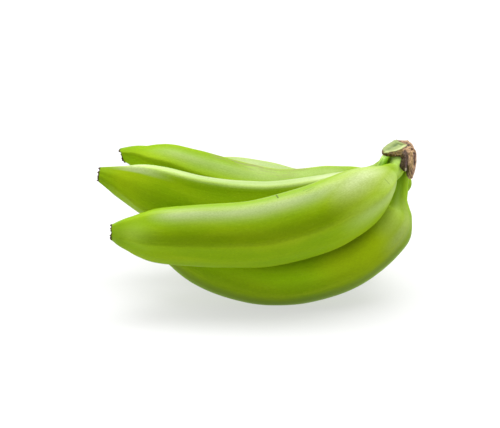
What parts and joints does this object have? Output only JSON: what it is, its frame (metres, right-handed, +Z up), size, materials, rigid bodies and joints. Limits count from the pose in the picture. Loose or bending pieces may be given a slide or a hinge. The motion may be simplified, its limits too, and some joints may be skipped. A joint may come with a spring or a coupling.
{
  "type": "hand of green bananas",
  "caption": "Hand of unripe green bananas joined at a dried crown, curved fruits in two rows, lying on the lower row's bellies; food or display prop.",
  "frame": {"origin": "centre of the base of the whole hand, on the surface it lies on", "axes": "+X from the fruits' tips towards the crown, +Y from the front fruit to the back fruit, +Z up"},
  "size_m": [0.1974, 0.1933, 0.0927],
  "materials": {
    "green_skin": "waxy satin fruit skin, yellow-green, paler on the lit faces, with fine speckles and faint scuffs",
    "dry_crown": "dried fibrous brown tissue with a pale green cut face"
  },
  "bodies": {
    "root": {"crown": "dry_crown", "finger_front_upper": "green_skin", "finger_front_lower": "green_skin", "finger_middle_upper": "green_skin", "finger_middle_lower": "green_skin", "finger_back_upper": "green_skin", "finger_back_lower": "green_skin"}
  },
  "joints": []
}
